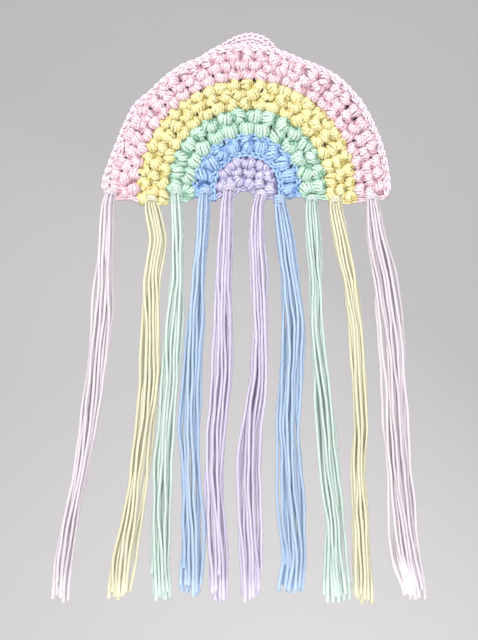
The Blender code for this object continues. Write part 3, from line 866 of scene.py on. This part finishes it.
@dataclass(frozen=True)
class YarnFinish:
    """The look of one yarn in one use: its lit colour where it stands proud, its painted shade colour for its
    hollows and grooves, and its twist.
    """

    colour: YarnColour
    use: Use
    light: Tint
    shade_tint: Tint
    patchiness: float = 0.30
    # Painted shade: how much the grooves between the plies are darkened.
    groove_shade_share: float = 0.30
    ply_width: float = 0.55
    ply_depth: float = 1.0
    fibre_depth: float = 0.45
    twist: float = 0.0
    bump: float = 0.0004
    sheen: float = 0.14

    def material(self, plies: ShaderNodeTree, tint: ShaderNodeTree) -> Material:
        """Makes the material of this finish.

        Args:
            plies: The group that draws the plies and fibres.
            tint: The group that colours the yarn.

        Returns:
            The material.
        """
        material = bpy.data.materials.new(f"{self.colour.slot}_{self.use.value}")
        material.use_nodes = True
        tree = material.node_tree
        nodes, links = tree.nodes, tree.links
        shader = nodes["Principled BSDF"]
        yarn_map = nodes.new("ShaderNodeUVMap")
        yarn_map.uv_map = YARN_MAP
        tone = nodes.new("ShaderNodeAttribute")
        tone.attribute_name = PAINTED_SHADE_TONE
        place = nodes.new("ShaderNodeTexCoord")
        twisted = nodes.new("ShaderNodeGroup")
        twisted.node_tree = plies
        set_inputs(
            twisted, Twist=self.twist, Ply_Width=self.ply_width, Ply_Depth=self.ply_depth,
            Fibre_Depth=self.fibre_depth,
        )
        tinted = nodes.new("ShaderNodeGroup")
        tinted.node_tree = tint
        set_inputs(
            tinted, Light=self.light.linear(), Deep=self.shade_tint.linear(), Patchiness=self.patchiness,
            Groove_Share=self.groove_shade_share,
        )
        bump = nodes.new("ShaderNodeBump")
        set_inputs(bump, Strength=0.8, Distance=self.bump)
        set_inputs(shader, Sheen_Weight=self.sheen, Sheen_Roughness=0.5, Specular_IOR_Level=0.25)
        for source, output, target, entry in (
            (yarn_map, "UV", twisted, "Yarn"),
            (tone, "Fac", tinted, "Tone"),
            (twisted, "Groove", tinted, "Groove"),
            (twisted, "Fibre", tinted, "Fibre"),
            (place, "Object", tinted, "Place"),
            (twisted, "Height", bump, "Height"),
            (tinted, "Color", shader, "Base Color"),
            (tinted, "Roughness", shader, "Roughness"),
            (bump, "Normal", shader, "Normal"),
        ):
            links.new(source.outputs[output], target.inputs[entry])
        return material


# What a loose strand shows more of than worked yarn: its twist, with stronger bump and stronger painted shade
# in its grooves.
LOOSE_TWIST = {"twist": -2.1, "ply_width": 1.1, "groove_shade_share": 0.85, "bump": 0.0008, "sheen": 0.2}

# Each finish pairs a lit tint, for where the yarn stands proud, with a painted shade tint for its hollows and
# grooves.
FINISHES = (
    YarnFinish(YarnColour.PINK, Use.WORKED, Tint(245, 223, 230), Tint(220, 164, 180)),
    # Painted highlight: the edging is the same pink yarn, in a paler copy that stands for its highlights.
    YarnFinish(YarnColour.PINK, Use.EDGE, Tint(247, 234, 242), Tint(212, 176, 202)),
    YarnFinish(YarnColour.PINK, Use.LOOSE, Tint(255, 250, 254), Tint(220, 190, 212), **LOOSE_TWIST),
    YarnFinish(YarnColour.YELLOW, Use.WORKED, Tint(246, 240, 188), Tint(214, 194, 102)),
    YarnFinish(YarnColour.YELLOW, Use.LOOSE, Tint(255, 253, 228), Tint(214, 204, 150), **LOOSE_TWIST),
    YarnFinish(YarnColour.GREEN, Use.WORKED, Tint(216, 240, 224), Tint(126, 188, 156)),
    YarnFinish(YarnColour.GREEN, Use.LOOSE, Tint(240, 254, 248), Tint(158, 204, 188), **LOOSE_TWIST),
    YarnFinish(YarnColour.BLUE, Use.WORKED, Tint(182, 211, 242), Tint(92, 146, 214)),
    YarnFinish(YarnColour.BLUE, Use.LOOSE, Tint(214, 234, 255), Tint(112, 162, 226), **LOOSE_TWIST),
    YarnFinish(YarnColour.LAVENDER, Use.WORKED, Tint(215, 210, 234), Tint(138, 130, 190)),
    YarnFinish(YarnColour.LAVENDER, Use.LOOSE, Tint(245, 239, 255), Tint(168, 154, 214), **LOOSE_TWIST),
)

Materials = dict[tuple[YarnColour, Use], Material]


def place_piece(item: Object, material: Material, colour: YarnColour, *nodes: str) -> None:
    """Dresses a piece, hangs it on the part and reports it.

    Args:
        item: The piece.
        material: Its material.
        colour: The yarn it is made of; not used.
        nodes: The solids that it stands for.
    """
    item.data.materials.append(material)
    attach(item, BODY)
    if nodes:
        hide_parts(*nodes)
    triangles = sum(len(face.vertices) - 2 for face in item.data.polygons)
    LOG.info("%s: %d triangles", item.name, triangles)


# The sub-assemblies


@dataclass
class ThinSheet:
    """A thin worked ground that stitches stand on, drawn as a strip between two lines.

    Across is how many points it has from one line to the other, and tone how light its yarn is painted: low,
    as painted shade where the ground shows between stitches.
    """

    name: str
    first_line: np.ndarray
    last_line: np.ndarray
    thickness: float
    across: int = 6
    # Painted shade: the ground's low tone darkens it as the shade between the stitches.
    tone: float = 0.42

    def build(self) -> Object:
        """Makes the sheet as a grid with a thickness.

        Returns:
            The sheet.
        """
        shares = np.linspace(0, 1, self.across)[:, None, None]
        grid = self.first_line[None] * (1 - shares) + self.last_line[None] * shares
        rows, columns, _ = grid.shape
        number = np.arange(rows * columns).reshape(rows, columns)
        quads = np.stack([number[:-1, :-1], number[:-1, 1:], number[1:, 1:], number[1:, :-1]], axis=-1)
        mesh = bpy.data.meshes.new(self.name)
        mesh.from_pydata((grid.reshape(-1, 3) * MM).tolist(), [], quads.reshape(-1, 4).tolist())
        item = link_object(self.name, mesh)
        thick = item.modifiers.new("thickness", "SOLIDIFY")
        thick.thickness = self.thickness * MM
        thick.offset = 0.0
        solid = bpy.data.meshes.new_from_object(item.evaluated_get(bpy.context.evaluated_depsgraph_get()))
        item.modifiers.clear()
        item.data = solid
        solid.name = self.name
        self._map(solid)
        solid.shade_smooth()
        return item

    def _map(self, mesh: bpy.types.Mesh) -> None:
        """Gives the sheet what the yarn materials read.

        Args:
            mesh: The sheet's mesh, which gets the map and the tone.
        """
        corners = np.empty(len(mesh.vertices) * 3, np.float32)
        mesh.vertices.foreach_get("co", corners)
        corners = corners.reshape(-1, 3)
        loops = np.empty(len(mesh.loops), np.int32)
        mesh.loops.foreach_get("vertex_index", loops)
        layer = mesh.uv_layers.new(name=YARN_MAP)
        layer.data.foreach_set("uv", (corners[loops][:, [0, 2]] / MM / 2).reshape(-1))
        tone = mesh.attributes.new(PAINTED_SHADE_TONE, "FLOAT", "POINT")
        tone.data.foreach_set("value", np.full(len(mesh.vertices), self.tone, np.float32))


@dataclass
class CrochetArc:
    """One arc of the rainbow: a thin ground, puffs on its face, flatter ones on its back, and chain rows."""

    plan: ArcPlan
    materials: Materials
    rng: np.random.Generator
    top: float = 7.7
    back_level: float = 0.9
    ground_front: float = 2.2
    ground_thickness: float = 0.9
    chain_level: float = 3.1
    chain_pitch: float = 4.2
    chain_tone: float = 0.75
    foot_rise: float = 1.2
    foot_pitch: float = 4.4
    # Painted shade: the gap pieces get a tone below zero, which paints them near black.
    gap_share: float = 0.32
    gap_level: float = 4.9
    gap_girth: float = 0.66
    gap_shade_tone: float = -0.8
    last_gaps: float = 90.0
    back_puff: PuffStitch = PuffStitch(
        loops=6, points=8, radius=0.85, fan_degrees=76, swirl_degrees=10, least_tilt=0, most_tilt=6,
        fan_noise=2.5, overlap=1.1, base=-1.5, core=False,
    )

    def build(self) -> None:
        """Builds and dresses all the pieces of the arc."""
        name = self.plan.colour.value
        material = self.materials[self.plan.colour, Use.WORKED]
        ground = self._ground(name)
        face = self._face(name)
        reverse = self._reverse(name)
        place_piece(ground, material, self.plan.colour, self.plan.node)
        for item in (face, reverse):
            place_piece(item, material, self.plan.colour)

    def _ground(self, name: str) -> Object:
        """Makes the thin sheet between the arc's inner and outer seams.

        Args:
            name: The first word of the piece's name.

        Returns:
            The sheet.
        """
        level = FRONT * (self.ground_front - self.ground_thickness / 2)
        steps = max(int(row_length(self.plan.outside) / 2.5), 24)
        inner = row_path(self.plan.inside, steps) + level
        outer = row_path(self.plan.outside, steps) + level
        return ThinSheet(f"{name}_ground", inner, outer, self.ground_thickness).build()

    def _face(self, name: str) -> Object:
        """Works the puffs and the rows of chain stitches between them.

        Args:
            name: The first word of the piece's name.

        Returns:
            The piece.
        """
        work = YarnWork(f"{name}_puffs", Yarn(), self.rng)
        puff = PuffStitch()
        chain = ChainStitch(half_width=1.6, radius=1.15, opened=True)
        for row in self.plan.rows:
            self._puffs(work, row, puff, FRONT, self.top)
            if row.radius < self.last_gaps:
                self._shade_gaps(work, row)
        self._placed(work, puff, FRONT, self.top)
        for radius in self.plan.flat_rows:
            path = row_path(radius) + FRONT * self.chain_level
            chain.work(work, path, FRONT, round(row_length(radius) / self.chain_pitch), self.chain_tone)
        self._feet(work)
        return work.build()

    def _reverse(self, name: str) -> Object:
        """Works the back of the arc, where the puffs are flatter.

        Args:
            name: The first word of the piece's name.

        Returns:
            The piece.
        """
        work = YarnWork(f"{name}_back", Yarn(sides=5, lobe=0.0), self.rng)
        for row in self.plan.rows:
            self._puffs(work, row, self.back_puff, BACK, self.back_level)
        self._placed(work, self.back_puff, BACK, self.back_level)
        return work.build()

    def _placed(self, work: YarnWork, puff: PuffStitch, facing: np.ndarray, top: float) -> None:
        """Works the puffs that sit in no row.

        Args:
            work: The work that they are added to.
            puff: The stitch.
            facing: The direction out of the face that they stand on.
            top: How far they stand out of the plane of the panel's back.
        """
        for x, up, half_width, half_height in self.plan.placed:
            at = np.array([x, 0.0, up - CENTRE_DROP])
            outward = unit(np.array([x, 0.0, up + 3.0]))
            puff.work(work, at, outward, facing, half_width, half_height / puff.overlap, top)

    def _puffs(self, work: YarnWork, row: PuffRow, puff: PuffStitch, facing: np.ndarray, top: float) -> None:
        """Works one row of puffs.

        Args:
            work: The work that they are added to.
            row: The row.
            puff: The stitch.
            facing: The direction out of the face that they stand on.
            top: How far they stand out of the plane of the panel's back.
        """
        half_width = row_length(row.radius) / (row.puffs + 2 * row.shift) / 2
        for number in range(row.puffs):
            at, angle = on_row(row.radius, row.share(number + self.rng.uniform(-0.09, 0.09)))
            puff.work(work, at, outward_at(angle), facing, half_width, row.half_height, top)

    def _shade_gaps(self, work: YarnWork, row: PuffRow) -> None:
        """Sets small pieces of yarn, painted near black as the shade in the gaps where the heads of two puffs
        meet the row above, at some of the places.

        Args:
            work: The work that they are added to.
            row: The row of puffs.
        """
        t = np.linspace(-1, 1, 5)
        for number in range(row.puffs - 1):
            if self.rng.uniform() > self.gap_share:
                continue
            at, angle = on_row(row.radius + row.half_height * 0.8, row.share(number + 0.5))
            angle += self.rng.normal(0, 0.4)
            reach = t[:, None] * outward_at(angle) * self.rng.uniform(0.9, 1.9)
            girth = self.gap_girth * np.sqrt(np.clip(1.1 - t**2, 0.1, 1))
            work.add((at + reach + FRONT * self.gap_level)[None], girth, np.full(5, self.gap_shade_tone))

    def _feet(self, work: YarnWork) -> None:
        """Works the short chain along the bottom edge, at each foot of the arc.

        Args:
            work: The work that it is added to.
        """
        stitch = ChainStitch(half_width=1.0, radius=1.0)
        for hand in (-1, 1):
            near, far = sorted((hand * max(self.plan.inside, 1.0), hand * self.plan.outside))
            edge = [(x, 0.0, self.foot_rise - CENTRE_DROP - drop_at(x)) for x in np.linspace(near, far, 24)]
            path = np.array(edge) + FRONT * self.chain_level
            stitches = max(round((far - near) / self.foot_pitch), 3)
            stitch.work(work, path, FRONT, stitches, self.chain_tone)


@dataclass
class ChainEdging:
    """The chain edging round the pink arc: a line of stitches on its face and one on its rim."""

    materials: Materials
    rng: np.random.Generator
    stitches: int = 54
    face_radius: float = 96.9
    rim_radius: float = 98.9
    level: float = 2.9
    face_tone: float = 0.85
    rim_tone: float = 0.95
    under_radius: float = 1.5
    under_drop: float = 0.8
    under_shade_tone: float = 0.55

    def build(self) -> None:
        """Builds and dresses the edging."""
        work = YarnWork("pink_edging", Yarn(), self.rng)
        steps = 240
        face = row_path(self.face_radius, steps) + FRONT * (self.level + 0.6)
        rim = row_path(self.rim_radius, steps) + FRONT * self.level
        stitch = ChainStitch(half_width=1.4, radius=1.2, rise=0.6, opened=True)
        stitch.work(work, face, FRONT, self.stitches, self.face_tone)
        # Painted shade: the plain strands under the stitches are painted darker, as the shade beneath them.
        for under in (face - FRONT * self.under_drop, rim):
            work.add(under[None], np.full(steps, self.under_radius), np.full(steps, self.under_shade_tone))
        angles = [on_row(self.rim_radius, share)[1] for share in np.linspace(0, 1, steps)]
        outward = np.array([outward_at(angle) for angle in angles])
        stitch.work(work, rim, outward, self.stitches, self.rim_tone)
        place_piece(work.build(), self.materials[YarnColour.PINK, Use.EDGE], YarnColour.PINK)


@dataclass
class HangingLoop:
    """The strap behind the top edge: a thin ground with two rows of chain stitches on each face."""

    materials: Materials
    rng: np.random.Generator
    width: float = 10.4
    front: float = 0.3
    back: float = 3.4
    stitches: int = 19
    ground_thickness: float = 0.8
    row_share: float = 0.25
    tone: float = 0.85

    def build(self) -> None:
        """Builds and dresses the strap."""
        line = smooth_curve(np.stack([STRAP_X, np.zeros(len(STRAP_X)), STRAP_Z], axis=1), 121)
        run = unit(np.gradient(line, axis=0))
        out = np.stack([-run[:, 2], np.zeros(len(run)), run[:, 0]], axis=1)
        middle = BACK * (self.front + self.back) / 2
        half = self.width / 2 - 1.0
        sides = [(line + out * hand * half + middle)[::3] for hand in (-1, 1)]
        ground = ThinSheet("loop_ground", *sides, self.ground_thickness, 4).build()
        work = YarnWork("loop_stitches", Yarn(), self.rng)
        stitch = ChainStitch(half_width=self.width / 4 - 0.75, radius=1.0, rise=0.3, overlap=0.5, opened=True)
        for facing, level in ((FRONT, self.front + 1.05), (BACK, self.back - 1.05)):
            for hand in (-1, 1):
                path = line + out * hand * self.width * self.row_share + BACK * level
                stitch.work(work, path, facing, self.stitches, self.tone)
        stitches = work.build()
        place_piece(ground, self.materials[YarnColour.PINK, Use.WORKED], YarnColour.PINK, "hanging_loop")
        place_piece(stitches, self.materials[YarnColour.PINK, Use.EDGE], YarnColour.PINK)


@dataclass(frozen=True)
class KnotShape:
    """The lengths of yarn side by side that wrap a tassel's strands, and how wide these are packed in it."""

    wraps: int
    reach: float
    narrowing: float
    arch: float
    step: float
    packed_width: float


KNOT_SHAPES = {
    Knot.HOOD: KnotShape(3, 4.3, 0.45, 3.6, 1.30, 8.4),
    Knot.COLLAR: KnotShape(4, 3.9, 0.0, 0.25, 1.35, 7.2),
}


# A strand from above its knot to its cut end: the places, its thickness there, and how light it is painted
# there, darker at its knot as painted shade.
STRAND_TRAVEL = (0, 0.03, 0.06, 0.8, 0.985, 1.0)
STRAND_SWELL = (0.78, 0.85, 1.0, 1.0, 1.12, 1.28)
STRAND_KNOT_SHADE = (0.85, 0.95, 1.0, 1.0, 1.0, 1.0)

# The waves of a strand's drift from side to side: the length of each and its share.
DRIFT_WAVES = ((150, 1.0), (70, 0.55), (32, 0.22))


@dataclass
class Tassel:
    """A tassel: strands of yarn that hang from the bottom edge and the knot that wraps them."""

    plan: TasselPlan
    materials: Materials
    rng: np.random.Generator
    strand_radius: float = 1.25
    pitch: float = 2.25
    root_pitch: float = 1.5
    root_depth: float = 5.6
    depth: float = 6.4
    level: float = -3.4
    ring_step: float = 1.32
    above_knot: float = 2.4
    uneven_ends: float = 4.5
    short_share: float = 0.06
    short_by: float = 14.0
    wander: float = 0.8
    least_shade: float = 1.10
    most_shade: float = 1.36
    flank_shade: float = 0.46
    knot_depth: float = 3.7
    wrap_radius: float = 0.78
    wrap_points: int = 20

    def build(self) -> None:
        """Builds and dresses the tassel."""
        work = YarnWork(self.plan.node + "_yarn", Yarn(lobe=0.05), self.rng, self.flank_shade)
        routes = self._routes()
        travel = np.linspace(0, 1, routes.shape[1])
        radii = self.strand_radius * np.interp(travel, STRAND_TRAVEL, STRAND_SWELL)
        shade = self.rng.uniform(self.least_shade, self.most_shade, (len(routes), 1))
        tones = shade * np.interp(travel, STRAND_TRAVEL, STRAND_KNOT_SHADE)
        # Painted shade: each strand's flanks are painted darker, and it is painted darker at its knot.
        work.add(routes, radii, tones, np.broadcast_to(FRONT, routes.shape))
        self._wraps(work)
        material = self.materials[self.plan.colour, Use.LOOSE]
        place_piece(work.build(), material, self.plan.colour, self.plan.node)

    def _packed(self, width: float, depth: float, pitch: float, turn: float) -> np.ndarray:
        """Spreads the strands over an oval section of the bundle and pushes them apart.

        Args:
            width: The width of the bundle there.
            depth: Its depth.
            pitch: The least distance between the middles of two strands.
            turn: The turn of the whole section, in radians.

        Returns:
            Where the strands cross the section, as strands by two coordinates.
        """
        numbers = np.arange(self.plan.strands)
        reach = np.sqrt((numbers + 0.5) / self.plan.strands)
        angles = numbers * GOLDEN_TURN + turn
        half = max(width / 2 - self.strand_radius, pitch / 2)
        spots = np.stack([reach * np.cos(angles) * half, reach * np.sin(angles) * depth / 2], axis=1)
        spots = self._pushed(spots[None], pitch, half, 60)[0]
        spots[:, 0] *= half / np.abs(spots[:, 0]).max()
        return spots

    def _pushed(self, spots: np.ndarray, pitch: float, half: np.ndarray | float, rounds: int) -> np.ndarray:
        """Pushes strands apart in each section until they are about a pitch apart.

        Args:
            spots: Where the strands cross each section, as sections by strands by two coordinates.
            pitch: The least distance between the middles of two strands.
            half: Half the width that the strands may take up.
            rounds: How many times they are pushed.

        Returns:
            The new places.
        """
        for _ in range(rounds):
            apart = spots[:, :, None] - spots[:, None]
            distance = np.linalg.norm(apart, axis=3) + np.eye(spots.shape[1]) * pitch
            push = np.clip(pitch - distance, 0, None) / np.maximum(distance, 1e-6) * 0.5
            spots = spots + (apart * push[..., None]).sum(axis=2)
            spots[..., 0] = np.clip(spots[..., 0], -half, half)
        return spots

    def _routes(self) -> np.ndarray:
        """Leads the strands from above the knot to their cut ends.

        Returns:
            The middle line of each strand, as strands by points by three coordinates.
        """
        plan = self.plan
        drops = np.array((plan.knot_drop, *SECTION_DROPS, plan.end_drop))
        middles = np.array((plan.knot_x, *plan.middles))
        packed_width = KNOT_SHAPES[plan.knot].packed_width
        sections = [self._packed(packed_width, self.root_depth, self.root_pitch, 0.0)]
        for number, width in enumerate(plan.widths, 1):
            sections.append(self._packed(width, self.depth, self.pitch, 0.13 * number))
        sections = np.array(sections)
        keep = np.concatenate([[True], np.diff(drops) > 2])
        drops, middles, sections = drops[keep], middles[keep], sections[keep]
        start = plan.knot_drop - self.above_knot
        points = int((plan.end_drop - start) / self.ring_step)
        strands = plan.strands
        cuts = self.rng.uniform(-self.uneven_ends, self.uneven_ends, strands)
        cuts[self.rng.uniform(size=strands) < self.short_share] -= self.short_by
        share = np.linspace(0, 1, points)[:, None]
        spots = start + share * (plan.end_drop + cuts - start)
        middle = self._smoothed(np.interp(spots, drops, middles))
        x, y = (
            self._smoothed(
                np.stack([np.interp(spots[:, i], drops, places[:, i]) for i in range(strands)], axis=1)
            )
            for places in (sections[..., 0], sections[..., 1])
        )
        loose = np.clip((spots - plan.knot_drop - 6) / 40, 0, 1)
        x = x + loose * self._wandering(spots)
        y = y + loose * self._wandering(spots) * 0.6
        offsets = self._pushed(np.stack([x, y], axis=2), self.pitch * 0.93, 99.0, 6)
        near = np.clip((spots - plan.knot_drop) / 12, 0, 1)[..., None]
        offsets = np.stack([x, y], axis=2) * (1 - near) + offsets * near
        offsets = np.stack([self._smoothed(offsets[..., 0], 5), self._smoothed(offsets[..., 1], 5)], axis=2)
        routes = [middle + offsets[..., 0], self.level + offsets[..., 1], -CENTRE_DROP - spots]
        return np.stack(routes, axis=2).transpose(1, 0, 2)

    def _smoothed(self, values: np.ndarray, window: int = 13) -> np.ndarray:
        """Rounds off the bends of each strand.

        Args:
            values: One coordinate of the strands, as points by strands.
            window: How many points each new one is made of.

        Returns:
            The coordinate after it is smoothed.
        """
        half = window // 2
        padded = np.pad(values, ((half, half), (0, 0)), mode="edge")
        kernel = np.hanning(window + 2)[1:-1]
        kernel = kernel / kernel.sum()
        return np.stack([np.convolve(column, kernel, mode="valid") for column in padded.T], axis=1)

    def _wandering(self, spots: np.ndarray) -> np.ndarray:
        """Draws the slow drift of each strand from side to side.

        Args:
            spots: How far below the arcs' centre each point lies, as points by strands.

        Returns:
            How far each point drifts.
        """
        strands = spots.shape[1]
        drift = np.zeros_like(spots)
        for wave_length, size in DRIFT_WAVES:
            phase = self.rng.uniform(0, 2 * math.pi, strands)
            stretch = self.rng.uniform(0.8, 1.25, strands)
            drift += size * np.sin(2 * math.pi * spots / wave_length * stretch + phase)
        return drift * self.wander

    def _wraps(self, work: YarnWork) -> None:
        """Adds the knot: lengths of yarn that arch over the front of the strands and go round their back.

        Args:
            work: The work that they are added to.
        """
        plan = self.plan
        shape = KNOT_SHAPES[plan.knot]
        phi = np.linspace(-0.5, math.pi + 0.5, self.wrap_points)
        arched = shape.arch * (np.clip(np.sin(phi), -0.2, 1) - 0.45)
        routes = []
        for number in range(shape.wraps):
            wide = shape.reach - shape.narrowing * number + self.rng.uniform(-0.15, 0.15)
            height = ((shape.wraps - 1) / 2 - number) * shape.step + self.rng.uniform(-0.12, 0.12)
            x, z = turned(wide * np.cos(phi), height + arched, math.radians(plan.knot_turn))
            y = -(self.knot_depth + 0.12 * number) * np.sin(phi)
            route = [plan.knot_x + x, self.level + y, -CENTRE_DROP - plan.knot_drop + z]
            routes.append(np.stack(route, axis=1))
        # Painted shade: each wrap is painted paler across the front of the strands and darker at its sides
        # and back, with a random tone per wrap.
        tones = 0.85 + 0.40 * np.clip(np.sin(phi), 0, 1) + self.rng.uniform(-0.14, 0.14, (shape.wraps, 1))
        outwards = np.stack([np.cos(phi), -np.sin(phi), 0 * phi], axis=1)
        outwards = np.broadcast_to(outwards, (shape.wraps, self.wrap_points, 3))
        work.add(np.array(routes), np.full(self.wrap_points, self.wrap_radius), tones, outwards)


# The room that the hanging is shown in


@dataclass(frozen=True)
class SoftLight:
    """A soft square light: where it stands and the length of its side in metres, its watts and its colour."""

    name: str
    at: tuple[float, float, float]
    size: float
    power: float
    colour: tuple[float, float, float]

    def build(self, target: Vector) -> None:
        """Adds the light.

        Args:
            target: The point that it faces.
        """
        light = bpy.data.lights.new(self.name, "AREA")
        light.shape = "SQUARE"
        light.size = self.size
        light.energy = self.power
        light.color = self.colour
        item = link_object(self.name, light)
        item.location = self.at
        item.rotation_euler = (target - item.location).to_track_quat("-Z", "Y").to_euler()


@dataclass
class Studio:
    """A plain pale floor that curves up behind, soft light and the camera."""

    floor_drop: float = 1050.0
    depth_behind: float = 1900.0
    depth_before: float = 6000.0
    half_width: float = 6000.0
    wall_height: float = 2600.0
    bend: float = 700.0
    shade: Tint = Tint(214, 212, 212)
    frame_height: float = 448.0
    middle_x: float = -5.6
    middle_z: float = -202.65
    subject_y: float = -3.5
    lens: float = 50.0
    sensor: float = 36.0
    world_colour: tuple[float, float, float, float] = (0.90, 0.91, 0.94, 1.0)
    world_strength: float = 0.64
    lights: tuple[SoftLight, ...] = (
        SoftLight("key", (-0.66, -0.85, 0.70), 0.50, 14.5, (1.0, 0.98, 0.95)),
        SoftLight("fill", (0.30, -1.20, -0.50), 0.90, 11.5, (1.0, 0.99, 0.98)),
        SoftLight("back", (0.5, 1.2, 0.7), 0.9, 20.0, (1.0, 1.0, 1.0)),
    )

    def build(self) -> None:
        """Builds the backdrop, the lights and the camera."""
        self._backdrop()
        for light in self.lights:
            light.build(Vector((self.middle_x * MM, 0.0, self.middle_z * MM)))
        self._world()
        self._camera()

    def _backdrop(self) -> None:
        """Makes the floor and the wall behind, in one sheet with a wide bend."""
        floor = -self.floor_drop
        line = [(-self.depth_before, floor)]
        for turn in np.linspace(0, math.pi / 2, 17):
            behind = self.depth_behind - self.bend * (1 - math.sin(turn))
            line.append((behind, floor + self.bend * (1 - math.cos(turn))))
        line.append((self.depth_behind, floor + self.wall_height))
        verts = [(side * self.half_width * MM, y * MM, z * MM) for side in (-1, 1) for y, z in line]
        count = len(line)
        faces = [(i, count + i, count + i + 1, i + 1) for i in range(count - 1)]
        mesh = bpy.data.meshes.new("studio_floor")
        mesh.from_pydata(verts, [], faces)
        mesh.shade_smooth()
        material = bpy.data.materials.new("studio_paper")
        material.use_nodes = True
        shader = material.node_tree.nodes["Principled BSDF"]
        set_inputs(shader, Base_Color=self.shade.linear(), Roughness=0.95, Specular_IOR_Level=0.1)
        mesh.materials.append(material)
        link_object("studio_floor", mesh)

    def _world(self) -> None:
        """Sets an even pale light from all round."""
        world = bpy.data.worlds.new("studio_world")
        bpy.context.scene.world = world
        world.use_nodes = True
        background = world.node_tree.nodes["Background"]
        set_inputs(background, Color=self.world_colour, Strength=self.world_strength)

    def _camera(self) -> None:
        """Sets the camera square to the hanging, so far off that the frame is as high as planned."""
        camera = bpy.data.cameras.new("camera")
        camera.lens = self.lens
        camera.sensor_fit = "AUTO"
        camera.sensor_width = self.sensor
        camera.clip_start = 0.01
        camera.clip_end = 50.0
        distance = self.frame_height * self.lens / self.sensor
        item = link_object("camera", camera)
        item.location = (self.middle_x * MM, (self.subject_y - distance) * MM, self.middle_z * MM)
        item.rotation_euler = (math.pi / 2, 0.0, 0.0)
        bpy.context.scene.camera = item


def build_materials() -> Materials:
    """Makes a material for each yarn and each of its uses.

    Returns:
        The materials, each under its yarn and its use.
    """
    plies = ply_group()
    tint = tint_group()
    return {(finish.colour, finish.use): finish.material(plies, tint) for finish in FINISHES}


def main() -> None:
    """Builds the studio and the hanging."""
    logging.basicConfig(level=logging.INFO, format="%(message)s")
    rng = np.random.default_rng(11)
    bpy.context.scene.view_settings.view_transform = "Standard"
    Studio().build()
    materials = build_materials()
    for plan in ARCS:
        CrochetArc(plan, materials, rng).build()
    ChainEdging(materials, rng).build()
    HangingLoop(materials, rng).build()
    for plan in TASSELS:
        Tassel(plan, materials, rng).build()


if __name__ == "__main__":
    main()
